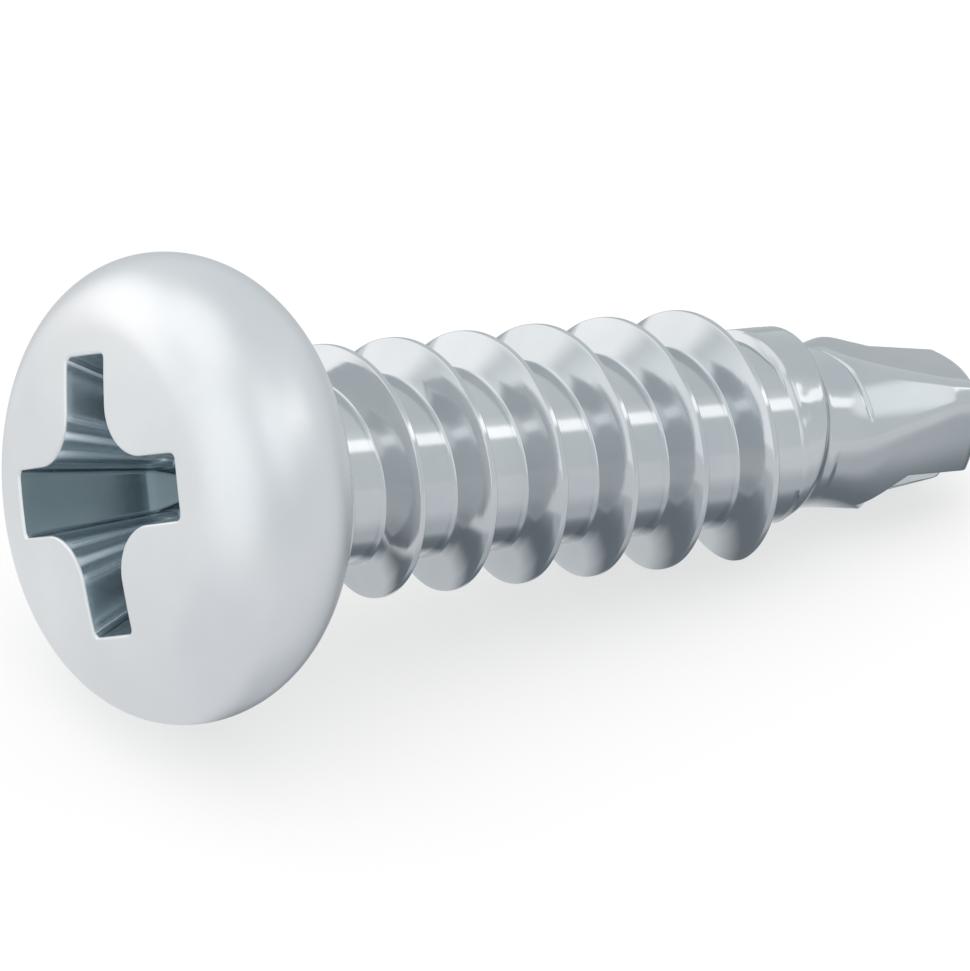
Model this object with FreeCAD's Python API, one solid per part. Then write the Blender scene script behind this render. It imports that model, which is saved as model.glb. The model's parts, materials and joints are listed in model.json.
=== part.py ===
import FreeCAD, Part
import math
import os
from FreeCAD import Vector

# Self drilling screw, pan head with a cross recess, thread size ST4.2, millimetres.
# It is one cold headed and thread rolled piece of steel, so it is one solid.
# It is modelled upright on its own axis, then laid down as it rests on a table.
# Own axis: S runs from the underside of the head towards the drill point.
# A turn of 0 degrees points along own X, and turns grow from own X to own Y.

# Head
head_diameter = 7.68
head_height = 2.95
crown_radius = 16.0
side_radius = 1.42
rim_radius = 1.75
under_head_fillet = 0.68

# Cross recess, size H2
recess_span = 4.6
recess_depth = 2.1
recess_wing_width = 1.1
recess_wall_draft = 5.75
recess_end_slope = 26.5
recess_floor_angle = 138.0
recess_corner_radius = 0.9
recess_floor_corner_radius = 0.42

# Thread, right handed with 60 degree flanks
thread_diameter = 4.2
thread_root_diameter = 3.06
thread_pitch = 1.4
thread_flank_angle = 30.0
thread_crest_width = 0.1
thread_first_crest = 0.36
thread_full_start = 0.8
thread_full_end = 9.42
thread_lead_in_turns = 0.5
thread_drop_turns = 0.14
thread_collar_turns = 0.5
thread_run_out_turns = 0.35
thread_faded_height = 0.02
thread_inside_head = 0.3
thread_points_per_turn = 16

# Shank between the thread and the drill
shank_end = 10.45
shank_chamfer = 0.32
collar_diameter = 3.4
core_clearance = 0.06

# Drill
screw_reach = 14.5
drill_diameter = 3.6
drill_neck_diameter = 2.66
drill_neck_length = 0.5
drill_land_length = 0.4
point_angle = 118.0
heel_flat_turn = 22.9
heel_flat_distance = 1.07
lip_flat_turn = 131.0
lip_flat_distance = 1.36
flute_lip_turn = 124.0
flute_heel_turn = 190.0
flute_web_offset = 0.3
flute_web_reach = 0.35
flute_straight_length = 0.9
flute_run_out_length = 1.2

# Search for the resting pose
rest_points_per_turn = 72
rest_turn_step = 2
rest_steps = 18

head_radius = head_diameter / 2
thread_radius = thread_diameter / 2
root_radius = thread_root_diameter / 2
collar_radius = collar_diameter / 2
core_radius = root_radius - core_clearance
neck_radius = drill_neck_diameter / 2
drill_radius = drill_diameter / 2
side_centre_radius = head_radius - side_radius
rim_centre_radius = head_radius - rim_radius
crown_centre = crown_radius - head_height
side_centre_drop = math.sqrt((crown_radius - side_radius) ** 2 - side_centre_radius ** 2)
side_centre = crown_centre - side_centre_drop
lip_plane = screw_reach - drill_radius / math.tan(math.radians(point_angle / 2))
neck_start = shank_end + shank_chamfer
neck_end = neck_start + drill_neck_length
core_end = shank_end - thread_pitch
collar_end = thread_full_end + thread_pitch * thread_collar_turns
crest_end = collar_end + thread_pitch * thread_run_out_turns
land_start = lip_plane - drill_land_length
own_axis = Vector(0, 0, 1)


def polar(radius, turn, height):
    """A point at a radius and a turn in degrees, at a height along the screw's own axis."""
    angle = math.radians(turn)
    return Vector(radius * math.cos(angle), radius * math.sin(angle), height)


def section_point(radius, height):
    """A point of a profile that is turned about the screw's own axis."""
    return Vector(radius, 0, height)


def polygon_wire(points):
    """Straight edges through the points, closed."""
    return Part.makePolygon(points + points[:1])


def rim_reach(drop):
    """How far the rim's arc stands out from its centre, at a distance from its widest ring."""
    return math.sqrt(rim_radius ** 2 - drop ** 2)


def make_blank():
    """The turned form: domed head, root cylinder, neck, drill land and cone point."""
    crown_top = section_point(0, -head_height)
    to_side = Vector(side_centre_radius, 0, -side_centre_drop).normalize()
    crown_middle_angle = math.atan2(side_centre_radius, side_centre_drop) / 2
    crown_middle = section_point(
        crown_radius * math.sin(crown_middle_angle),
        crown_centre - crown_radius * math.cos(crown_middle_angle))
    side_centre_point = section_point(side_centre_radius, side_centre)
    shoulder = side_centre_point + to_side * side_radius
    to_side_middle = (to_side + Vector(1, 0, 0)).normalize()
    side_middle = side_centre_point + to_side_middle * side_radius
    widest = section_point(head_radius, side_centre)
    underside_edge = section_point(rim_centre_radius + rim_reach(side_centre), 0)
    rim_middle = section_point(rim_centre_radius + rim_reach(side_centre / 2), side_centre / 2)
    fillet_start = section_point(core_radius + under_head_fillet, 0)
    fillet_end = section_point(core_radius, under_head_fillet)
    fillet_share = under_head_fillet * (1 - math.sqrt(0.5))
    fillet_middle = section_point(core_radius + fillet_share, fillet_share)
    edges = [
        Part.Arc(crown_top, crown_middle, shoulder).toShape(),
        Part.Arc(shoulder, side_middle, widest).toShape(),
        Part.Arc(widest, rim_middle, underside_edge).toShape(),
        Part.makeLine(underside_edge, fillet_start),
        Part.Arc(fillet_start, fillet_middle, fillet_end).toShape(),
    ]
    corners = [
        fillet_end,
        section_point(core_radius, core_end),
        section_point(neck_radius, core_end),
        section_point(neck_radius, neck_end),
        section_point(drill_radius, land_start),
        section_point(drill_radius, lip_plane),
        section_point(0, screw_reach),
        crown_top,
    ]
    for start, end in zip(corners, corners[1:]):
        edges.append(Part.makeLine(start, end))
    profile = Part.Face(Part.Wire(edges))
    return profile.revolve(Vector(0, 0, 0), own_axis, 360)


def ease(share):
    """From 0 to 1 and level at both ends, for a share that may lie outside them."""
    share = min(max(share, 0), 1)
    return share * share * (3 - 2 * share)


def crest_radius_at(height):
    """Full crest along the thread, easing down to the root at the lead in and the run out.

    The run out first drops to the collar's radius, keeps it, then eases into the root."""
    before = (thread_full_start - height) / (thread_pitch * thread_lead_in_turns)
    drop = (height - thread_full_end) / (thread_pitch * thread_drop_turns)
    after = (height - collar_end) / (thread_pitch * thread_run_out_turns)
    radius = thread_radius + (collar_radius - thread_radius) * ease(drop)
    faded_radius = root_radius + thread_faded_height
    return radius + (faded_radius - radius) * max(ease(before), ease(after))


def ridge_half_width(radius):
    """Half the width of the thread's ridge at a radius, between its two straight flanks."""
    flank = math.tan(math.radians(thread_flank_angle))
    return thread_crest_width / 2 + (thread_radius - radius) * flank


def thread_corners(height):
    """Section of the ridge whose middle is at this height, from the axis and back to it."""
    turn = 360 * (height - thread_first_crest) / thread_pitch
    crest = crest_radius_at(height)
    foot_half = ridge_half_width(root_radius)
    crest_half = ridge_half_width(crest)
    return [
        Vector(0, 0, height - foot_half),
        polar(root_radius, turn, height - foot_half),
        polar(crest, turn, height - crest_half),
        polar(crest, turn, height + crest_half),
        polar(root_radius, turn, height + foot_half),
        Vector(0, 0, height + foot_half),
    ]


def smooth_edge(points):
    """A smooth curve through the points."""
    curve = Part.BSplineCurve()
    curve.interpolate(points)
    return curve.toShape()


def strip(edge, next_edge):
    """A ruled face between two lines that run the same way."""
    return Part.makeRuledSurface(edge, next_edge, 1)


def turn_edges(start):
    """One turn of the section's six helical lines; the first and last run along the axis."""
    steps = [thread_pitch * i / thread_points_per_turn for i in range(thread_points_per_turn + 1)]
    tracks = list(zip(*[thread_corners(start + step) for step in steps]))
    edges = [smooth_edge(list(track)) for track in tracks[1:-1]]
    ends = [Part.makeLine(track[0], track[-1]) for track in (tracks[0], tracks[-1])]
    return [ends[0]] + edges + [ends[1]]


def make_thread():
    """A threaded rod, turn by turn, from inside the head to past the shank's end.

    Root, flanks and crest are ruled helical strips, and both ends are helical steps."""
    first = -thread_pitch - thread_inside_head
    turns = math.ceil((neck_start - first) / thread_pitch) + 2
    lines = [turn_edges(first + thread_pitch * i) for i in range(turns)]
    faces = [strip(lines[0][0], lines[0][1])]
    for i in range(turns):
        for j in range(1, 4):
            faces.append(strip(lines[i][j], lines[i][j + 1]))
    for i in range(turns - 1):
        faces.append(strip(lines[i][4], lines[i + 1][1]))
    faces.append(strip(lines[-1][4], lines[-1][5]))
    start, above_start = thread_corners(first), thread_corners(first + thread_pitch)
    faces.append(Part.Face(polygon_wire(start[:5] + [above_start[1], above_start[0]])))
    last = first + thread_pitch * turns
    end, below_end = thread_corners(last), thread_corners(last - thread_pitch)
    faces.append(Part.Face(polygon_wire(end[1:] + [below_end[5], below_end[4]])))
    shell = Part.makeShell(faces)
    shell.sewShape()
    return Part.makeSolid(shell.Shells[0])


def make_shank_envelope():
    """What the thread stays within: its ends are cut at the head and chamfered at the neck."""
    outside = thread_radius + thread_pitch
    profile = [
        section_point(0, -thread_inside_head),
        section_point(outside, -thread_inside_head),
        section_point(outside, shank_end),
        section_point(collar_radius, shank_end),
        section_point(neck_radius, neck_start),
        section_point(0, neck_start),
    ]
    return Part.Face(polygon_wire(profile)).revolve(Vector(0, 0, 0), own_axis, 360)


def recess_wire(half_span, half_width, corner_radius, height):
    """A cross of four wings with rounded inner corners, square across the axis."""
    inner = half_width + corner_radius
    arc_reach = inner - corner_radius * math.sqrt(0.5)
    edges = []
    for i in range(4):
        spin = FreeCAD.Rotation(own_axis, 90 * i)
        wing = [
            Vector(inner, -half_width, height),
            Vector(half_span, -half_width, height),
            Vector(half_span, half_width, height),
            Vector(inner, half_width, height),
            Vector(arc_reach, arc_reach, height),
            Vector(half_width, inner, height),
        ]
        a, b, c, d, e, f = [spin.multVec(point) for point in wing]
        edges.append(Part.makeLine(a, b))
        edges.append(Part.makeLine(b, c))
        edges.append(Part.makeLine(c, d))
        edges.append(Part.Arc(d, e, f).toShape())
    return Part.Wire(edges)


def make_recess():
    """The cross recess: drafted wings, narrowing inwards, over a shallow cone floor."""
    end_slope = math.tan(math.radians(recess_end_slope))
    draft = math.tan(math.radians(recess_wall_draft))
    wing_end_drop = crown_radius - math.sqrt(crown_radius ** 2 - (recess_span / 2) ** 2)
    mouth_span = recess_span / 2 + wing_end_drop * end_slope
    floor_span = mouth_span - recess_depth * end_slope
    mouth_width = recess_wing_width / 2 + wing_end_drop * draft
    floor_width = mouth_width - recess_depth * draft
    mouth_height = -head_height
    floor_height = mouth_height + recess_depth
    tip_height = floor_height + floor_span / math.tan(math.radians(recess_floor_angle / 2))
    mouth = recess_wire(mouth_span, mouth_width, recess_corner_radius, mouth_height)
    floor = recess_wire(floor_span, floor_width, recess_floor_corner_radius, floor_height)
    wings = Part.makeLoft([mouth, floor], True, True)
    tip = Part.makeLoft([floor, Part.Vertex(0, 0, tip_height)], True, True)
    return wings.fuse(tip)


def make_drill_flat(turn, distance):
    """What a flat takes off the drill: it leans in from the neck to the lip plane."""
    outside = drill_radius * 2
    slope = (distance - neck_radius) / (lip_plane - neck_end)
    beyond = screw_reach + drill_radius
    profile = [
        Vector(neck_radius, 0, neck_end),
        Vector(outside, 0, neck_end),
        Vector(outside, 0, beyond),
        Vector(neck_radius + slope * (beyond - neck_end), 0, beyond),
    ]
    side = Part.Face(polygon_wire([p - Vector(0, outside, 0) for p in profile]))
    cutter = side.extrude(Vector(0, outside * 2, 0))
    cutter.rotate(Vector(0, 0, 0), own_axis, turn)
    return cutter


def make_flute(turn):
    """What one flute takes off: a notch with a straight lip wall, running out at the neck."""
    offset = polar(flute_web_offset, flute_lip_turn + 90, 0)
    web = polar(flute_web_reach, flute_lip_turn, 0) + offset
    reach = drill_radius * 2
    lip_end = web + polar(reach, flute_lip_turn, 0)
    heel_end = web + polar(reach, flute_heel_turn, 0)
    run_out_start = lip_plane - flute_straight_length
    level = Vector(0, 0, run_out_start)
    notch = Part.Face(polygon_wire([web + level, lip_end + level, heel_end + level]))
    straight = notch.extrude(Vector(0, 0, screw_reach - run_out_start + drill_radius))
    opening_turn = (flute_lip_turn + flute_heel_turn) / 2
    rise = polar(drill_radius, opening_turn, -flute_run_out_length)
    run_out = notch.extrude(rise)
    cutter = straight.fuse(run_out)
    cutter.rotate(Vector(0, 0, 0), own_axis, turn)
    return cutter


def thread_touch(tilt, down_turn):
    """How far the thread reaches below the own origin, for a tilt and a turn that faces down."""
    reach = 0
    count = round((crest_end - thread_full_start) / thread_pitch * rest_points_per_turn)
    for i in range(count + 1):
        height = thread_full_start + (crest_end - thread_full_start) * i / count
        turn = 360 * (height - thread_first_crest) / thread_pitch
        crest = crest_radius_at(height)
        across = crest * math.cos(math.radians(turn - down_turn)) * math.cos(tilt)
        reach = max(reach, across + (height + ridge_half_width(crest)) * math.sin(tilt))
    return reach


def head_touch(tilt):
    """How far the rounded rim of the head reaches below the own origin, for a tilt."""
    return rim_centre_radius * math.cos(tilt) + side_centre * math.sin(tilt) + rim_radius


def resting_tilt(down_turn):
    """The slope of the axis, in radians, at which the head and the thread both touch."""
    low, high = 0, math.pi / 4
    for _ in range(rest_steps):
        middle = (low + high) / 2
        if thread_touch(middle, down_turn) < head_touch(middle):
            low = middle
        else:
            high = middle
    return (low + high) / 2


def resting_pose(centre):
    """The turn that faces down and the tilt, where the screw's centre of mass lies lowest."""
    poses = []
    for down_turn in range(0, 360, rest_turn_step):
        tilt = resting_tilt(down_turn)
        poses.append((head_touch(tilt) - centre * math.sin(tilt), down_turn, tilt))
    return min(poses)[1:]


def lay_down(screw):
    """Lays the screw on the table, drill towards +X, origin under the middle of its box."""
    down_turn, tilt = resting_pose(screw.CenterOfMass.z)
    roll = math.radians(down_turn - 180)
    axis = Vector(math.cos(tilt), 0, -math.sin(tilt))
    upward = Vector(math.sin(tilt), 0, math.cos(tilt))
    sideways = Vector(0, -1, 0)
    own_x = upward * math.cos(roll) - sideways * math.sin(roll)
    own_y = upward * math.sin(roll) + sideways * math.cos(roll)
    turned = FreeCAD.Rotation(own_x, own_y, axis, "ZXY")
    screw.Placement = FreeCAD.Placement(Vector(0, 0, 0), turned)
    box = screw.optimalBoundingBox()
    shift = Vector(-(box.XMin + box.XMax) / 2, -(box.YMin + box.YMax) / 2, -box.ZMin)
    screw.Placement = FreeCAD.Placement(shift, turned)
    return screw


def make_screw():
    """The whole screw: blank with its thread, less the recess, the flats and the flutes."""
    screw = make_blank().fuse(make_thread().common(make_shank_envelope()))
    cutters = [make_recess()]
    for half_turn in (0, 180):
        cutters.append(make_drill_flat(heel_flat_turn + half_turn, heel_flat_distance))
        cutters.append(make_drill_flat(lip_flat_turn + half_turn, lip_flat_distance))
        cutters.append(make_flute(half_turn))
    for cutter in cutters:
        screw = screw.cut(cutter)
    return lay_down(screw.Solids[0])


os.makedirs("parts", exist_ok=True)
screw = make_screw()
screw.exportStep("parts/screw.step")
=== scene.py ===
import json
import math

import bpy
import numpy as np
from mathutils import Matrix, Vector


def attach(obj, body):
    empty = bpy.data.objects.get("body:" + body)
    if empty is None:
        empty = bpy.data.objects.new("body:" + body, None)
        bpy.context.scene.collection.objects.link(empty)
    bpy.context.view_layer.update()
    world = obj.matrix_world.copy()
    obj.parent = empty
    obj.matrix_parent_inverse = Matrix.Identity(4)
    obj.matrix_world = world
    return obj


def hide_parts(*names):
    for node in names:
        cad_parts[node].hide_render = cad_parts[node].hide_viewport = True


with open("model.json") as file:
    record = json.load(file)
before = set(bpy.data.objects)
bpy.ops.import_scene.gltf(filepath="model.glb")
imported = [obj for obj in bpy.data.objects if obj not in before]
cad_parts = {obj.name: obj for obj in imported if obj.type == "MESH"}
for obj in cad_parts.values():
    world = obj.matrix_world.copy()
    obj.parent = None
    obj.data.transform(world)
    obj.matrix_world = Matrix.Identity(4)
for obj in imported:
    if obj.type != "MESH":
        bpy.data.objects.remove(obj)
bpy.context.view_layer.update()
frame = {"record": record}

# A pan head self drilling screw, bright zinc plated, lying on a pale floor.
# Its shapes are worked out in millimetres on the screw's own axis: S runs from
# the underside of the head to the drill point, and a turn of 0 points along own X.

MM = 0.001
ROLL = 32.0

HEAD_HEIGHT = 2.95
HEAD_RADIUS = 3.84
CROWN_RADIUS = 16.0
SIDE_RADIUS = 1.42
RIM_RADIUS = 1.75
UNDER_HEAD_FILLET = 0.68
HEAD_PIECE_END = 1.0
RECESS_SPAN = 4.6
RECESS_DEPTH = 2.1
RECESS_WING_WIDTH = 1.1
RECESS_WALL_DRAFT = math.radians(5.75)
RECESS_END_SLOPE = math.radians(26.5)
RECESS_FLOOR_SLOPE = math.radians(69.0)
RECESS_CORNER = (0.9, 0.42)
RECESS_TIP_CORNER = (0.12, 0.07)
RECESS_LIP_ROUND = 0.045
RECESS_FLOOR_ROUND = 0.06
CONE_RINGS = 9

THREAD_RADIUS = 2.1
ROOT_RADIUS = 1.53
PITCH = 1.4
FLANK = math.tan(math.radians(30.0))
FIRST_CREST = 0.36
FULL_START = 0.8
FULL_END = 9.42
LEAD_IN = PITCH * 0.5
COLLAR_DROP = PITCH * 0.14
COLLAR_RUN = PITCH * 0.5
RUN_OUT = PITCH * 0.35
FADED_CREST = ROOT_RADIUS + 0.004
CREST_WIDTH = 0.1
CREST_ROUND = 0.014
CREST_EDGE_ROUND = 0.022
FOOT_ROUND = 0.03
COLLAR_RADIUS = 1.7
SHANK_END = 10.45
CORE_RADIUS = 1.47
# The strip that is wound into the thread: the turn where it starts, its count of turns, its
# first line and its last lines on the root, both from the ridge's middle, the point that
# closes its start, and where it sinks into the shank past the thread.
STRIP_FIRST_TURN = -225.0
STRIP_TURNS = 9
STRIP_START = -0.46
STRIP_ROOT_LINES = (0.56, 0.68, 0.81)
STRIP_START_POLE = 0.3
STRIP_SINK_START = SHANK_END + 0.02
STRIP_SINK_LENGTH = 0.3
STRIP_SUNK_RADIUS = 0.45

# The shoulder's top and end are a mean and what the cosine of the turn adds. Its start is
# the place at a turn of 0, and how much later it comes at half a turn.
SHOULDER_TOP = (1.60, 0.09)
SHOULDER_START = (9.72, 0.35)
SHOULDER_RISE = 0.22
SHOULDER_END = (10.51, 0.15)
SHOULDER_FALL = 0.3
SHOULDER_INSIDE = 1.45

NECK_RADIUS = 1.33
DRILL_PIECE_START = 9.6
DRILL_START = 10.98
NECK_END = 11.27
DRILL_RADIUS = 1.8
REACH = 14.5
POINT_SLOPE = math.tan(math.radians(59.0))
LIP_PLANE = REACH - DRILL_RADIUS / POINT_SLOPE
LAND_START = LIP_PLANE - 0.4
# Each flat has the turn of its middle in degrees, and its distance from the axis at the
# lip plane.
FLATS = ((22.9, 1.07), (131.0, 1.36))
FLUTE_LIP_TURN = 124.0
FLUTE_HEEL_TURN = 190.0
FLUTE_WEB = (0.35, 0.3)
FLUTE_STRAIGHT = 0.9
FLUTE_RUN_OUT = 1.2
NECK_BLEND = 0.08
LAND_BLEND = 0.03
POINT_BLEND = 0.02
FLAT_BLEND = 0.16
FLUTE_BLEND = 0.08
SEAM_TURNS = (12.0, 94.0)
SEAM_HEIGHTS = (11.33, 11.58)
SEAM_DEPTH = 0.035
SEAM_HALF_WIDTH = 0.028
# Each dent has its turn, its height and its depth.
DENTS = ((50.0, 9.86, 0.04), (69.5, 10.14, 0.018), (85.0, 10.10, 0.03))
DENT_TURN_REACH = 6.5
DENT_REACH = 0.12


def ease(share):
    """From 0 to 1 and level at both ends."""
    share = np.clip(share, 0, 1)
    return share * share * (3 - 2 * share)


def own_frame():
    """The screw's own origin and its X, Y and S directions, from the record's mounts."""
    mounts = {mount["name"]: mount for mount in frame["record"]["mounts"]}
    along = np.array(mounts["head_underside"]["axis"])
    crown_top = np.array(mounts["cross_recess"]["pos_m"]) / MM
    origin = crown_top + along * HEAD_HEIGHT
    upward = np.array(mounts["head_underside"]["pos_m"]) / MM - origin
    upward -= along * (upward @ along)
    upward /= np.linalg.norm(upward)
    sideways = np.cross(along, upward)
    roll = math.radians(ROLL)
    own_x = upward * math.cos(roll) - sideways * math.sin(roll)
    own_y = upward * math.sin(roll) + sideways * math.cos(roll)
    return origin, np.array([own_x, own_y, along])


OWN_ORIGIN, OWN_AXES = own_frame()


def make_piece(name, points, faces):
    """A mesh piece from points on the own axes in millimetres, put where the CAD screw lies."""
    world = (OWN_ORIGIN + points @ OWN_AXES) * MM
    mesh = bpy.data.meshes.new(name)
    mesh.from_pydata(world.tolist(), [], faces)
    mesh.shade_smooth()
    mesh.update()
    piece = bpy.data.objects.new(name, mesh)
    bpy.context.scene.collection.objects.link(piece)
    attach(piece, "root")
    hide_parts("screw")
    return piece


def ring_faces(rows, columns):
    """Quads between neighbouring rings, and a fan to a pole before and after them."""
    ring = np.arange(columns)
    ahead = (ring + 1) % columns
    start = np.arange(rows - 1)[:, None] * columns
    quads = np.stack([start + ring, start + ahead, start + columns + ahead,
                      start + columns + ring], axis=-1).reshape(-1, 4)
    last = (rows - 1) * columns
    first_pole = np.full(columns, rows * columns)
    first_fan = np.stack([first_pole, ahead, ring], axis=-1)
    last_fan = np.stack([first_pole + 1, last + ring, last + ahead], axis=-1)
    return quads.tolist() + first_fan.tolist() + last_fan.tolist()


def ring_piece(name, rings, first_pole, last_pole):
    """A closed piece of rings round the axis, closed by a point on the axis at each end."""
    rows, columns = rings.shape[:2]
    poles = np.array([[0, 0, first_pole], [0, 0, last_pole]])
    points = np.concatenate([rings.reshape(-1, 3), poles])
    return make_piece(name, points, ring_faces(rows, columns))


def rounded(before, corner, after, steps):
    """A quadratic curve from one point to another that is drawn towards the corner."""
    share = np.linspace(0, 1, steps)[:, None, None]
    return (1 - share) ** 2 * before + 2 * share * (1 - share) * corner + share ** 2 * after


def between(start, end, steps):
    """Straight steps from one ring to another, without the two rings."""
    share = np.linspace(0, 1, steps + 2)[1:-1, None, None]
    return start + (end - start) * share


def cross_outline(half_span, half_width, inner_radius, tip_radius):
    """Plan of the recess: each half wing is end line, tip arc, side line and inner arc.

    Returns the points round the axis and the outward directions at them."""
    def line(start, end, steps, outward):
        share = np.linspace(0, 1, steps, endpoint=False)[:, None]
        points = np.array(start) + (np.array(end) - np.array(start)) * share
        return points, np.tile(outward, (steps, 1))

    def arc(centre, radius, start, end, steps, outward_sign):
        angle = np.radians(np.linspace(start, end, steps, endpoint=False))
        direction = np.stack([np.cos(angle), np.sin(angle)], axis=-1)
        return np.array(centre) + direction * radius, direction * outward_sign

    inner = half_width + inner_radius
    parts = [
        line((half_span, 0), (half_span, half_width - tip_radius), 7, (1, 0)),
        arc((half_span - tip_radius, half_width - tip_radius), tip_radius, 0, 90, 8, 1),
        line((half_span - tip_radius, half_width), (inner, half_width), 10, (0, 1)),
        arc((inner, inner), inner_radius, -90, -135, 24, -1),
    ]
    half = np.concatenate([part[0] for part in parts])
    outward = np.concatenate([part[1] for part in parts])
    middle = (inner - inner_radius * math.sqrt(0.5)) * np.ones((1, 2))
    half = np.concatenate([half, middle])
    outward = np.concatenate([outward, np.full((1, 2), math.sqrt(0.5))])
    mirror = np.array([1, -1])
    wing = np.concatenate([(half * mirror)[:0:-1], half[:-1]])
    wing_outward = np.concatenate([(outward * mirror)[:0:-1], outward[:-1]])
    loops = []
    for turn in np.radians([0, 90, 180, 270]):
        spin = np.array([[math.cos(turn), math.sin(turn)], [-math.sin(turn), math.cos(turn)]])
        loops.append(np.stack([wing @ spin, wing_outward @ spin]))
    return np.concatenate(loops, axis=1)


def at_height(plan, height):
    """Plan points lifted to a height, as one ring."""
    return np.concatenate([plan, np.broadcast_to(height, plan.shape[:1])[:, None]], axis=-1)


def crown_height(radius):
    """Height of the head's domed face at a radius."""
    return CROWN_RADIUS - HEAD_HEIGHT - np.sqrt(CROWN_RADIUS ** 2 - radius ** 2)


def head_rings():
    """Pan head with its cross recess: rings from the recess floor over the face to the shank.

    Recess walls are ruled between a wide plan at the face and a narrow one at the floor.
    The face is an arc of a large circle, which a smaller arc carries on to the widest ring,
    and from there a third arc turns in to the flat underside.
    Returns the rings of the recess, the rings outside it, the height of the recess's tip,
    and which columns run down the end walls of its four wings."""
    wing_end_drop = crown_height(RECESS_SPAN / 2) + HEAD_HEIGHT
    mouth_span = RECESS_SPAN / 2 + wing_end_drop * math.tan(RECESS_END_SLOPE)
    mouth_width = RECESS_WING_WIDTH / 2 + wing_end_drop * math.tan(RECESS_WALL_DRAFT)
    floor_span = mouth_span - RECESS_DEPTH * math.tan(RECESS_END_SLOPE)
    floor_width = mouth_width - RECESS_DEPTH * math.tan(RECESS_WALL_DRAFT)
    floor_height = RECESS_DEPTH - HEAD_HEIGHT
    tip_height = floor_height + floor_span / math.tan(RECESS_FLOOR_SLOPE)
    mouth, outward = cross_outline(mouth_span, mouth_width, RECESS_CORNER[0],
                                   RECESS_TIP_CORNER[0])
    floor = cross_outline(floor_span, floor_width, RECESS_CORNER[1], RECESS_TIP_CORNER[1])[0]

    def wall(depth):
        """Ring on the recess wall, each column at its share of the recess's depth."""
        return at_height(mouth + (floor - mouth) * depth[:, None],
                         depth * RECESS_DEPTH - HEAD_HEIGHT)

    def cone(share):
        """Ring on the cone floor, at a share of the way from its tip to the walls."""
        return at_height(floor * share, tip_height + (floor_height - tip_height) * share)

    lip_depth = np.zeros(len(mouth))
    for _ in range(6):
        radius = np.linalg.norm(wall(lip_depth)[:, :2], axis=-1)
        lip_depth = (crown_height(radius) + HEAD_HEIGHT) / RECESS_DEPTH
    lip = wall(lip_depth)
    below_lip = wall(lip_depth + RECESS_LIP_ROUND / RECESS_DEPTH)
    face_edge_plan = lip[:, :2] + outward * RECESS_LIP_ROUND
    face_edge = at_height(face_edge_plan, crown_height(np.linalg.norm(face_edge_plan, axis=-1)))
    above_floor = wall(np.full(len(mouth), 1 - RECESS_FLOOR_ROUND / RECESS_DEPTH))
    floor_edge = cone(0.93)

    direction = face_edge_plan / np.linalg.norm(face_edge_plan, axis=-1)[:, None]
    inner_radius = np.linalg.norm(face_edge_plan, axis=-1)
    side_centre_radius = HEAD_RADIUS - SIDE_RADIUS
    shoulder_radius = side_centre_radius * CROWN_RADIUS / (CROWN_RADIUS - SIDE_RADIUS)
    side_centre = CROWN_RADIUS - HEAD_HEIGHT - math.sqrt(
        (CROWN_RADIUS - SIDE_RADIUS) ** 2 - side_centre_radius ** 2)
    face_radii = inner_radius + (shoulder_radius - inner_radius) * (
        np.linspace(0, 1, 16)[1:, None])
    face = np.stack([at_height(direction * r[:, None], crown_height(r)) for r in face_radii])

    shoulder_angle = math.asin(side_centre_radius / (CROWN_RADIUS - SIDE_RADIUS))
    side_angle = np.linspace(shoulder_angle, math.pi / 2, 30)[1:]
    rim_angle = np.linspace(0, math.asin(-side_centre / RIM_RADIUS), 22)[1:]
    side_radii = np.concatenate([
        side_centre_radius + SIDE_RADIUS * np.sin(side_angle),
        HEAD_RADIUS - RIM_RADIUS * (1 - np.cos(rim_angle))])
    side_heights = side_centre + np.concatenate([
        -SIDE_RADIUS * np.cos(side_angle), RIM_RADIUS * np.sin(rim_angle)])
    fillet_angle = np.linspace(0, math.pi / 2, 14)
    fillet_radii = CORE_RADIUS + UNDER_HEAD_FILLET * (1 - np.sin(fillet_angle))
    fillet_heights = UNDER_HEAD_FILLET * (1 - np.cos(fillet_angle))
    underside_radii = np.linspace(side_radii[-1] - 0.04, fillet_radii[0] + 0.02, 8)
    radii = np.concatenate([side_radii, underside_radii, fillet_radii, [CORE_RADIUS]])
    heights = np.concatenate([side_heights, np.zeros_like(underside_radii), fillet_heights,
                              [HEAD_PIECE_END]])
    turned = np.stack([at_height(direction * r, h) for r, h in zip(radii, heights)])

    recess = np.concatenate([
        np.stack([cone(share) for share in np.linspace(0.08, 0.85, CONE_RINGS)]),
        rounded(floor_edge, at_height(floor, floor_height), above_floor, 5),
        between(above_floor, below_lip, 14),
    ])
    outside = np.concatenate([rounded(below_lip, lip, face_edge, 6), face, turned])
    at_wing_end = np.abs(mouth).max(axis=-1) > mouth_span - RECESS_TIP_CORNER[0] / 2
    return recess, outside, tip_height, at_wing_end


# Which of the head's three zinc finishes a face has, in the order of its material slots.
# The third finish is painted shade: dark zinc deep in the recess.
OUTSIDE, WALL, PAINTED_SHADE_BOTTOM = 0, 1, 2


def make_head():
    """The head as one closed piece, from the recess tip to inside the shank.

    Returns it with the finish of each face: satin zinc outside, wall zinc in the recess,
    and dark zinc, painted shade, on the recess's cone floor and its wings' end walls."""
    recess, outside, tip_height, at_wing_end = head_rings()
    rings = np.concatenate([recess, outside])
    head = ring_piece("pan_head", rings, tip_height, HEAD_PIECE_END)
    rows, columns = rings.shape[:2]
    finish = np.full((rows - 1, columns), OUTSIDE)
    # Painted shade: dark zinc on the recess's cone floor and on its wings' end walls.
    finish[:len(recess)] = np.where(at_wing_end, PAINTED_SHADE_BOTTOM, WALL)
    finish[:CONE_RINGS] = PAINTED_SHADE_BOTTOM
    fans = np.repeat([PAINTED_SHADE_BOTTOM, OUTSIDE], columns)
    return head, np.concatenate([finish.ravel(), fans]).astype(np.int32)


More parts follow.
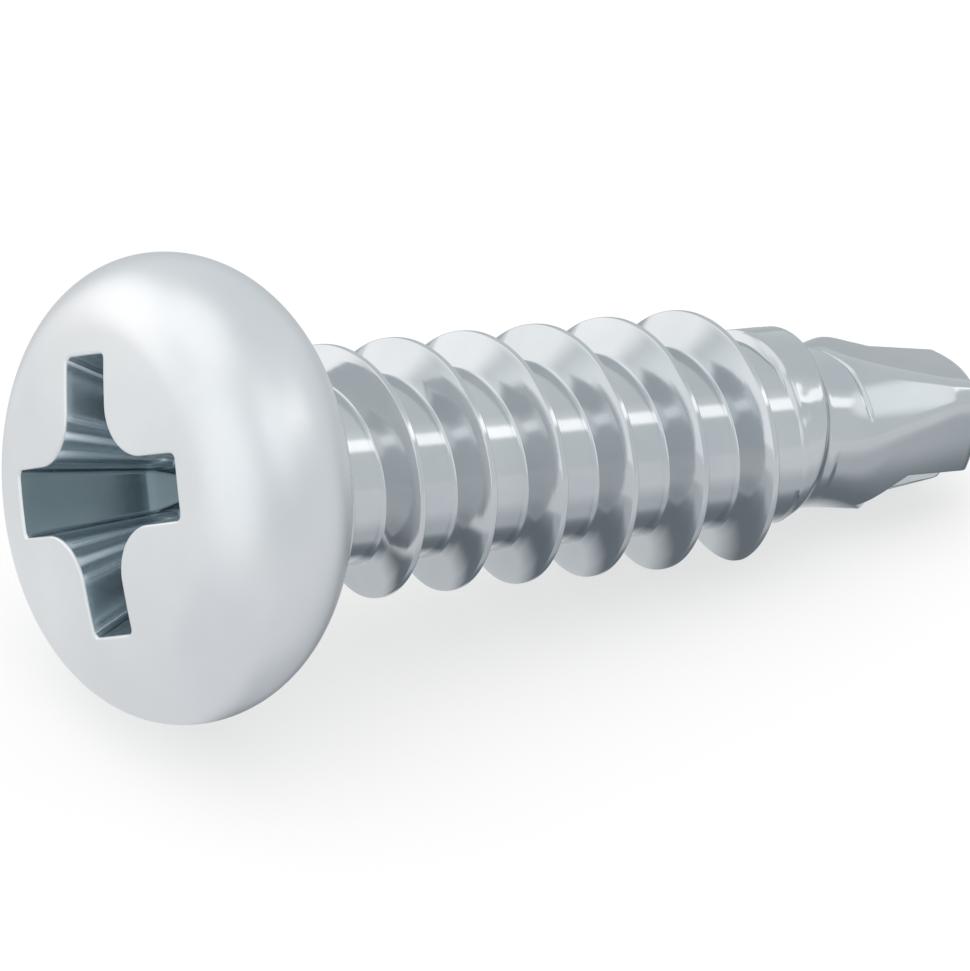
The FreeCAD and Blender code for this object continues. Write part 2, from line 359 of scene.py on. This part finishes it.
def crest_radius(height):
    """Full crest along the thread, easing to the root at both its ends.

    At the far end it first drops to the collar's crest, and half a turn on it fades."""
    before = (FULL_START - height) / LEAD_IN
    drop = (height - FULL_END) / COLLAR_DROP
    after = (height - (FULL_END + COLLAR_RUN)) / RUN_OUT
    radius = THREAD_RADIUS + (COLLAR_RADIUS - THREAD_RADIUS) * ease(drop)
    return radius + (FADED_CREST - radius) * np.maximum(ease(before), ease(after))


def ridge_profile(crest):
    """Half section of the ridge: distance from its middle and radius, foot to crest.

    Straight 30 degree flank between a small foot round and a small crest round, which
    shrink with the ridge where it fades."""
    crest_half = CREST_WIDTH / 2 + (THREAD_RADIUS - crest) * FLANK
    foot_half = CREST_WIDTH / 2 + (THREAD_RADIUS - ROOT_RADIUS) * FLANK
    height = crest - ROOT_RADIUS
    largest_round = height * 0.4
    foot_stretch = 1.4
    foot_round = np.minimum(FOOT_ROUND, largest_round)
    crest_round = np.minimum(CREST_ROUND, largest_round)
    nodes = []
    for share in (0, 0.3, 0.6, 1):
        run = (1 - share) ** 2 * foot_round * foot_stretch
        rise = share ** 2 * foot_round
        nodes.append((foot_half + run - rise * FLANK, ROOT_RADIUS + rise))
    for share in (0.25, 0.5, 0.75):
        radius = ROOT_RADIUS + foot_round + (height - foot_round - crest_round) * share
        nodes.append((foot_half - (radius - ROOT_RADIUS) * FLANK, radius))
    for share in (0, 0.35, 0.7, 1):
        rise = (1 - share) ** 2 * crest_round
        run = share ** 2 * np.minimum(crest_half, CREST_EDGE_ROUND)
        nodes.append((crest_half + rise * FLANK - run, crest - rise))
    return nodes


def make_thread():
    """Rolled right hand thread: one strip, a pitch wide, wound along the shank.

    Radius and height are functions of the winding turn and the place across the strip.
    A strip's last line is its first line one turn on. Past the shank's end the strip sinks
    towards the axis, and a fan to a point on the axis closes each of its two ends."""
    steps = 150
    turn = np.radians(STRIP_FIRST_TURN + np.arange(STRIP_TURNS * steps + 1) * 360 / steps)
    middle = FIRST_CREST + PITCH * turn / (2 * math.pi)
    crest = crest_radius(middle)
    ridge = ridge_profile(crest)
    whole = np.ones_like(crest)
    strip = [(STRIP_START * whole, ROOT_RADIUS * whole)]
    strip += [(-offset, radius) for offset, radius in ridge]
    strip += [(0 * whole, crest)]
    strip += ridge[::-1]
    strip += [(offset * whole, ROOT_RADIUS * whole) for offset in STRIP_ROOT_LINES]
    offsets, radii = np.moveaxis(np.array(strip), 0, -1)
    heights = middle[:, None] + offsets
    sunk = ease((heights - STRIP_SINK_START) / STRIP_SINK_LENGTH)
    radii = radii + (STRIP_SUNK_RADIUS - radii) * sunk
    grid = np.stack([radii * np.cos(turn)[:, None], radii * np.sin(turn)[:, None], heights],
                    axis=-1)

    rows, across = len(turn) - steps, grid.shape[1]
    body = np.arange(rows * across).reshape(rows, across)
    first_line = np.concatenate([body[:, 0], rows * across + np.arange(steps)])
    lines = np.concatenate([body, first_line[steps:, None]], axis=1)
    quads = np.stack([lines[:-1, :-1], lines[1:, :-1], lines[1:, 1:], lines[:-1, 1:]],
                     axis=-1).reshape(-1, 4)
    start_loop = np.concatenate([body[0], first_line[steps:0:-1]])
    end_loop = np.concatenate([body[-1], first_line[:rows - 1:-1]])
    start_pole = first_line[-1] + 1
    start_fan = np.stack([start_loop, np.roll(start_loop, -1),
                          np.full_like(start_loop, start_pole)], axis=-1)
    end_fan = np.stack([np.full_like(end_loop, start_pole + 1), np.roll(end_loop, -1),
                        end_loop], axis=-1)
    end_height = heights[rows - 1, across // 2]
    points = np.concatenate([grid[:rows].reshape(-1, 3), grid[rows:, 0],
                             [[0, 0, STRIP_START_POLE], [0, 0, end_height]]])
    faces = quads.tolist() + start_fan.tolist() + end_fan.tolist()
    return make_piece("rolled_thread", points, faces)


def smooth_least(first, second, blend):
    """The smaller of two radii, rounded where they are within the blend of each other."""
    share = np.clip(0.5 + (second - first) / (2 * blend), 0, 1)
    return second + (first - second) * share - blend * share * (1 - share)


def facing(turn, centre):
    """Cosine of the turn from a direction, kept above zero."""
    return np.maximum(np.cos(turn - np.radians(centre)), 1e-3)


def drill_radius(turn, height):
    """Radius of the drill: turned form, less two pairs of flats and two flutes.

    Turned form: neck, cone out to the land, land, and the cone of the point.
    A flat that stands at d from the axis has radius d / cos(turn from its middle).
    A flute has a lip wall and a heel wall, whichever of the two is further out, and both
    move out to the surface where the flute runs out."""
    cone = NECK_RADIUS + (DRILL_RADIUS - NECK_RADIUS) * (height - NECK_END) / (
        LAND_START - NECK_END)
    turned = smooth_least(-smooth_least(-cone, -NECK_RADIUS, NECK_BLEND), DRILL_RADIUS,
                          LAND_BLEND)
    radius = smooth_least(turned, np.maximum(REACH - height, 0) * POINT_SLOPE, POINT_BLEND)
    lean = np.clip((height - NECK_END) / (LIP_PLANE - NECK_END), 0, 2)
    out = np.clip((LIP_PLANE - FLUTE_STRAIGHT - height) / FLUTE_RUN_OUT, 0, 2) * DRILL_RADIUS
    middle = (FLUTE_LIP_TURN + FLUTE_HEEL_TURN) / 2
    wall_out = out * math.sin(math.radians(middle - FLUTE_LIP_TURN))
    web_turn = math.radians(FLUTE_HEEL_TURN - FLUTE_LIP_TURN)
    heel_offset = (FLUTE_WEB[0] * math.sin(web_turn)
                   + FLUTE_WEB[1] * math.cos(web_turn + math.pi / 2))
    for half_turn in (0, 180):
        for flat_turn, distance in FLATS:
            flat = NECK_RADIUS + (distance - NECK_RADIUS) * lean
            radius = smooth_least(radius, flat / facing(turn, flat_turn + half_turn),
                                  FLAT_BLEND)
        lip_wall = (FLUTE_WEB[1] + wall_out) / facing(turn, FLUTE_LIP_TURN + 90 + half_turn)
        heel_wall = (heel_offset + wall_out) / facing(turn, FLUTE_HEEL_TURN - 90 + half_turn)
        radius = smooth_least(radius, np.maximum(lip_wall, heel_wall), FLUTE_BLEND)
    return radius


def collar_radius(turn, height):
    """Shoulder that thread rolling leaves at the shank's end, higher on own +X.

    Its radius eases up at its start and down to the neck at its end."""
    swing = np.cos(turn)
    top = SHOULDER_TOP[0] + SHOULDER_TOP[1] * swing
    start = SHOULDER_START[0] + SHOULDER_START[1] * (1 - swing) / 2
    end = SHOULDER_END[0] + SHOULDER_END[1] * swing
    rise = ease((height - start) / SHOULDER_RISE)
    fall = ease((height - end) / SHOULDER_FALL)
    return SHOULDER_INSIDE + (top - SHOULDER_INSIDE) * rise - (top - NECK_RADIUS) * fall


def mark_depth(turn, height):
    """Depth of the forging seam and of the burrs' dents below the surface.

    The seam is a fine groove that climbs evenly from one turn to another; a dent is a pit."""
    turn = np.degrees(turn)
    share = (turn - SEAM_TURNS[0]) / (SEAM_TURNS[1] - SEAM_TURNS[0])
    seam = SEAM_HEIGHTS[0] + (SEAM_HEIGHTS[1] - SEAM_HEIGHTS[0]) * share
    fade = ease(share * 6) * ease((1 - share) * 6)
    depth = SEAM_DEPTH * fade * np.exp(-((height - seam) / SEAM_HALF_WIDTH) ** 2)
    for dent_turn, dent_height, depth_there in DENTS:
        away = ((turn - dent_turn) / DENT_TURN_REACH) ** 2 + (
            (height - dent_height) / DENT_REACH) ** 2
        depth = depth + depth_there * np.exp(-away)
    return depth


def make_drill():
    """Fluted drill point with the shank's shoulder: rings of radius by turn and height.

    A column's turn comes from the outline of the fluted section: columns are even in the
    share of its length that they have passed plus half the share of the turn."""
    columns = 560
    fluted_section = LIP_PLANE - 0.15
    fine_turn = np.linspace(0, 2 * math.pi, 7201)
    section = drill_radius(fine_turn, np.full_like(fine_turn, fluted_section))
    x, y = section * np.cos(fine_turn), section * np.sin(fine_turn)
    length = np.concatenate([[0], np.cumsum(np.hypot(np.diff(x), np.diff(y)))])
    passed = length / length[-1] + 0.5 * fine_turn / (2 * math.pi)
    turn = np.interp(np.arange(columns) / columns * passed[-1], passed, fine_turn)

    seam_start, seam_end = SEAM_HEIGHTS[0] - 0.08, SEAM_HEIGHTS[1] + 0.08
    lip_start, lip_end = LIP_PLANE - 0.06, LIP_PLANE + 0.06
    last_ring = REACH - 0.02
    stretches = ((DRILL_PIECE_START, DRILL_START, 25), (DRILL_START, seam_start, 6),
                 (seam_start, seam_end, 25), (seam_end, lip_start, 75),
                 (lip_start, lip_end, 8), (lip_end, last_ring, 25))
    heights = np.concatenate([[DRILL_PIECE_START]] + [
        np.linspace(start, end, rings + 1)[1:] for start, end, rings in stretches])
    turn_grid, height_grid = np.meshgrid(turn, heights)
    radius = np.where(height_grid < DRILL_START,
                      collar_radius(turn_grid, height_grid),
                      drill_radius(turn_grid, height_grid))
    radius = radius - mark_depth(turn_grid, height_grid)
    rings = np.stack([radius * np.cos(turn_grid), radius * np.sin(turn_grid), height_grid],
                     axis=-1)
    return ring_piece("drill_point", rings, DRILL_PIECE_START, REACH)


head, head_finish = make_head()
pieces = [head, make_thread(), make_drill()]


def srgb(code):
    """Linear colour from an sRGB hex value."""
    channels = [int(code[i:i + 2], 16) / 255 for i in (1, 3, 5)]
    linear = [c / 12.92 if c <= 0.04045 else ((c + 0.055) / 1.055) ** 2.4 for c in channels]
    return (*linear, 1.0)


def add_node(tree, kind, links=None, stops=(), **settings):
    """Adds a node with its values by name or socket, its inputs' links, and a ramp's stops.

    A stop has its place from 0 to 1 and a hex colour."""
    node = tree.nodes.new(kind)
    for name, value in settings.items():
        if name in node.inputs:
            node.inputs[name].default_value = value
        elif name.replace("_", " ") in node.inputs:
            node.inputs[name.replace("_", " ")].default_value = value
        else:
            setattr(node, name, value)
    for name, source in (links or {}).items():
        tree.links.new(source, node.inputs[name])
    if stops:
        elements = node.color_ramp.elements
        while len(elements) < len(stops):
            elements.new(1.0)
        for element, (place, code) in zip(elements, stops):
            element.position = place
            element.color = srgb(code)
    return node


# Clouds in the plating are about 2 mm wide. Its real grain is too fine to show, so it is
# drawn as coarse as it needs to show.
CLOUD_WIDTH = 2.2 * MM
GRAIN_WIDTH = 0.09 * MM
GRAIN_HEIGHT = 0.004 * MM


def zinc_plate(name, light, dark, roughness):
    """Zinc on cold formed steel: soft cloudy tint, and fine grain in its gloss and height."""
    material = bpy.data.materials.new(name)
    material.use_nodes = True
    tree = material.node_tree
    shader = tree.nodes["Principled BSDF"]
    shader.inputs["Metallic"].default_value = 1.0
    place = add_node(tree, "ShaderNodeTexCoord").outputs["Object"]
    clouds = add_node(tree, "ShaderNodeTexNoise", {"Vector": place}, Scale=1 / CLOUD_WIDTH,
                      Detail=3.0, Roughness=0.5)
    tint = add_node(tree, "ShaderNodeValToRGB", {"Fac": clouds.outputs["Fac"]},
                    stops=((0.35, dark), (0.65, light)))
    tree.links.new(tint.outputs["Color"], shader.inputs["Base Color"])
    grain = add_node(tree, "ShaderNodeTexNoise", {"Vector": place}, Scale=1 / GRAIN_WIDTH,
                     Detail=4.0, Roughness=0.6)
    gloss = add_node(tree, "ShaderNodeMapRange", {"Value": grain.outputs["Fac"]},
                     To_Min=roughness - 0.05, To_Max=roughness + 0.07)
    tree.links.new(gloss.outputs[0], shader.inputs["Roughness"])
    bump = add_node(tree, "ShaderNodeBump", {"Height": grain.outputs["Fac"]},
                    Strength=0.07, Distance=GRAIN_HEIGHT)
    tree.links.new(bump.outputs[0], shader.inputs["Normal"])
    return material


# Tumbling in the plating barrel gives the head a pale satin skin.
satin_zinc = zinc_plate("satin_zinc_on_head", "#EEEFF0", "#E7E9EB", 0.36)
# Rolling burnishes the shank, so its zinc mirrors harder; its base colour is darker than
# the head's, which is painted shade on the thread and the drill.
burnished_shaded_zinc = zinc_plate("shank_zinc_painted_darker", "#D5D8DA", "#CACED1", 0.10)
# The punch presses the recess walls smooth, so they mirror brightly.
wall_zinc = zinc_plate("zinc_on_recess_walls", "#E6EBEE", "#D8DFE3", 0.16)
# Dark, faintly teal zinc at the recess bottom: painted shade for the depths of the recess.
recess_shade_zinc = zinc_plate("zinc_painted_with_recess_shade", "#7F8D93", "#6E7D83", 0.18)
for piece in pieces:
    piece.data.materials.append(satin_zinc if piece is head else burnished_shaded_zinc)
head.data.materials.append(wall_zinc)
head.data.materials.append(recess_shade_zinc)
head.data.polygons.foreach_set("material_index", head_finish)


# The camera sees the floor mixed with this share of white, so that its shadow stays faint.
FLOOR_SHADOW_LIFT = 0.6
# The floor as the zinc mirrors it, by places from 15 mm in front of the screw to 15 mm
# behind it: a painted reflection that the floor emits for glossy rays only. The dark line
# under the thread and the drill is painted shade; round the head it is painted pale.
FLOOR_RAMP_REACH = 15 * MM
PAST_HEAD = (-7.4 * MM, -6.4 * MM)
PAINTED_MIRROR_SHADE_BY_THREAD = (
    (0.0, "#E2E5E8"), (0.30, "#E0E3E6"), (0.33, "#D9DCDF"), (0.385, "#C2C7CB"),
    (0.412, "#BFC4C8"), (0.428, "#8A9298"), (0.443, "#787F86"), (0.462, "#747C82"),
    (0.474, "#B4B9BD"), (0.486, "#D8DBDD"), (0.56, "#CBCFD2"), (0.66, "#C4C9CC"))
PAINTED_MIRROR_TONE_BY_HEAD = ((0.0, "#E5E7EA"), (0.42, "#E2E4E7"), (0.50, "#E6E8EA"), (0.60, "#ECEEEF"))


def make_floor():
    """Plain pale floor that keeps the shadow; the zinc mirrors an emitted colour with painted
    shade near the screw.
    """
    half = 0.5
    mesh = bpy.data.meshes.new("floor")
    mesh.from_pydata([(-half, -half, 0), (half, -half, 0), (half, half, 0), (-half, half, 0)],
                     [], [(0, 1, 2, 3)])
    floor = bpy.data.objects.new("floor", mesh)
    bpy.context.scene.collection.objects.link(floor)
    material = bpy.data.materials.new("pale_floor_with_painted_mirror_shade")
    material.use_nodes = True
    tree = material.node_tree
    pale = tree.nodes["Principled BSDF"]
    pale.inputs["Base Color"].default_value = srgb("#FBFBFB")
    pale.inputs["Roughness"].default_value = 0.9
    place = add_node(tree, "ShaderNodeTexCoord")
    axes = add_node(tree, "ShaderNodeSeparateXYZ", {0: place.outputs["Object"]})
    depth = add_node(tree, "ShaderNodeMapRange", {"Value": axes.outputs["Y"]},
                     From_Min=-FLOOR_RAMP_REACH, From_Max=FLOOR_RAMP_REACH)
    past_head = add_node(tree, "ShaderNodeMapRange", {"Value": axes.outputs["X"]},
                         interpolation_type="SMOOTHSTEP", From_Min=PAST_HEAD[0],
                         From_Max=PAST_HEAD[1])
    # Painted shade and pale tone, emitted and seen only in the zinc's reflections.
    painted_tone_by_head = add_node(tree, "ShaderNodeValToRGB", {"Fac": depth.outputs[0]},
                       stops=PAINTED_MIRROR_TONE_BY_HEAD)
    painted_shade_by_thread = add_node(tree, "ShaderNodeValToRGB", {"Fac": depth.outputs[0]},
                         stops=PAINTED_MIRROR_SHADE_BY_THREAD)
    mirrored = add_node(tree, "ShaderNodeMix",
                        {0: past_head.outputs[0], 6: painted_tone_by_head.outputs["Color"],
                         7: painted_shade_by_thread.outputs["Color"]}, data_type="RGBA")
    glow = add_node(tree, "ShaderNodeEmission", {"Color": mirrored.outputs[2]}, Strength=1.0)
    path = add_node(tree, "ShaderNodeLightPath")
    white = add_node(tree, "ShaderNodeEmission", Color=srgb("#FFFFFF"), Strength=1.0)
    lifted = add_node(tree, "ShaderNodeMath", {0: path.outputs["Is Camera Ray"]},
                      operation="MULTIPLY")
    lifted.inputs[1].default_value = FLOOR_SHADOW_LIFT
    seen = add_node(tree, "ShaderNodeMixShader", {0: lifted.outputs[0],
                                                  1: pale.outputs[0], 2: white.outputs[0]})
    mix = add_node(tree, "ShaderNodeMixShader", {0: path.outputs["Is Glossy Ray"],
                                                 1: seen.outputs[0], 2: glow.outputs[0]})
    tree.links.new(mix.outputs[0], tree.nodes["Material Output"].inputs["Surface"])
    mesh.materials.append(material)


make_floor()


def add_lamp(name, place, target, size, power):
    """Soft square area lamp that faces its target; places are in metres."""
    data = bpy.data.lights.new(name, "AREA")
    data.size = size
    data.energy = power
    lamp = bpy.data.objects.new(name, data)
    lamp.location = place
    lamp.rotation_mode = "QUATERNION"
    lamp.rotation_quaternion = (Vector(target) - Vector(place)).to_track_quat("-Z", "Y")
    lamp.visible_glossy = False
    bpy.context.scene.collection.objects.link(lamp)


SCREW_MIDDLE = (0.0, 0.0, 0.0035)
add_lamp("overhead_lamp", (-0.06, 0.05, 0.36), SCREW_MIDDLE, size=0.4, power=0.25)

# What the zinc mirrors around it. Each patch has its direction, the two angles from it
# between which it fades, and its colour. The light bar runs through both its ends, fades
# away from the first between two angles, and has a profile across its width.
SURROUND = "#B9BEC0"
SURROUND_STRENGTH = 1.45
SURROUND_PATCHES = (
    ((-0.45, 0.87, 0.20), 18.0, 36.0, "#F0F0F0"),
    ((0.20, -0.59, 0.78), 10.0, 24.0, "#E2E5E7"),
    ((-0.25, 0.42, 0.87), 14.0, 34.0, "#E6E8E9"),
    ((-0.90, -0.30, 0.35), 22.0, 55.0, "#DCDFE1"),
)
LIGHT_BAR_FADE = (13.0, 22.0)
LIGHT_BAR_ENDS = ((0.693, -0.335, 0.637), (0.198, -0.588, 0.783))
LIGHT_BAR_PROFILE = ((0.0, "#000000"), (0.31, "#000000"), (0.36, "#FFFFFF"),
                     (0.51, "#FFFFFF"), (0.56, "#707070"), (0.72, "#000000"))


def make_world():
    """White surround for the camera and the floor, and patches of light for the zinc."""
    world = bpy.data.worlds.new("studio")
    bpy.context.scene.world = world
    world.use_nodes = True
    tree = world.node_tree
    tree.nodes.clear()
    direction = add_node(tree, "ShaderNodeTexCoord").outputs["Generated"]

    def along(aim):
        """How far the direction points along the aim, from -1 to 1."""
        node = add_node(tree, "ShaderNodeVectorMath", {0: direction}, operation="DOT_PRODUCT")
        node.inputs[1].default_value = aim
        return node.outputs["Value"]

    def within(aim, inner, outer):
        """1 up to the inner angle from the aim, easing to 0 at the outer one."""
        return add_node(tree, "ShaderNodeMapRange", {"Value": along(aim)},
                        interpolation_type="SMOOTHSTEP",
                        From_Min=math.cos(math.radians(outer)),
                        From_Max=math.cos(math.radians(inner))).outputs[0]

    def painted(colour, share, code):
        """The colour, or the plain surround where there is none yet, mixed with a new one."""
        node = add_node(tree, "ShaderNodeMix", {0: share}, data_type="RGBA")
        node.inputs[7].default_value = srgb(code)
        if colour is None:
            node.inputs[6].default_value = srgb(SURROUND)
        else:
            tree.links.new(colour, node.inputs[6])
        return node.outputs[2]

    colour = None
    for centre, inner, outer, code in SURROUND_PATCHES:
        colour = painted(colour, within(Vector(centre).normalized(), inner, outer), code)
    first, second = (Vector(end).normalized() for end in LIGHT_BAR_ENDS)
    across = add_node(tree, "ShaderNodeMapRange",
                      {"Value": along(second.cross(first).normalized())},
                      From_Min=-0.5, From_Max=0.5)
    profile = add_node(tree, "ShaderNodeValToRGB", {"Fac": across.outputs[0]},
                       stops=LIGHT_BAR_PROFILE)
    light_bar = add_node(tree, "ShaderNodeMath",
                         {0: profile.outputs["Color"], 1: within(first, *LIGHT_BAR_FADE)},
                         operation="MULTIPLY")
    colour = painted(colour, light_bar.outputs[0], "#FFFFFF")
    mirrored = add_node(tree, "ShaderNodeBackground", {"Color": colour},
                        Strength=SURROUND_STRENGTH)
    white = add_node(tree, "ShaderNodeBackground", Color=srgb("#FFFFFF"), Strength=1.0)
    path = add_node(tree, "ShaderNodeLightPath")
    mix = add_node(tree, "ShaderNodeMixShader", {0: path.outputs["Is Glossy Ray"],
                                                 1: white.outputs[0], 2: mirrored.outputs[0]})
    add_node(tree, "ShaderNodeOutputWorld", {"Surface": mix.outputs[0]})


make_world()

# Angles in degrees and lengths in metres.
CAMERA_AZIMUTH = 34.0
CAMERA_ELEVATION = 31.8
CAMERA_TWIST = 3.75
CAMERA_DISTANCE = 0.5
CAMERA_OFFSET = (-0.00072, -0.001215)
VIEW_WIDTH = 0.01582


def make_camera():
    """Long lens camera at the photograph's angle, framing the screw edge to edge."""
    azimuth, elevation = math.radians(CAMERA_AZIMUTH), math.radians(CAMERA_ELEVATION)
    twist = math.radians(CAMERA_TWIST)
    back = Vector((-math.sin(azimuth) * math.cos(elevation),
                   -math.cos(azimuth) * math.cos(elevation), math.sin(elevation)))
    level = Vector((math.cos(azimuth), -math.sin(azimuth), 0))
    upright = back.cross(level)
    right = level * math.cos(twist) + upright * math.sin(twist)
    up = upright * math.cos(twist) - level * math.sin(twist)
    data = bpy.data.cameras.new("camera")
    data.sensor_width = 36
    data.lens = data.sensor_width * CAMERA_DISTANCE / VIEW_WIDTH
    data.clip_start, data.clip_end = 0.05, 5
    camera = bpy.data.objects.new("camera", data)
    camera.rotation_mode = "QUATERNION"
    camera.rotation_quaternion = Matrix((right, up, back)).transposed().to_quaternion()
    camera.location = (Vector(SCREW_MIDDLE) + back * CAMERA_DISTANCE
                       + right * CAMERA_OFFSET[0] + up * CAMERA_OFFSET[1])
    bpy.context.scene.collection.objects.link(camera)
    bpy.context.scene.camera = camera


make_camera()
bpy.context.scene.view_settings.view_transform = "Standard"
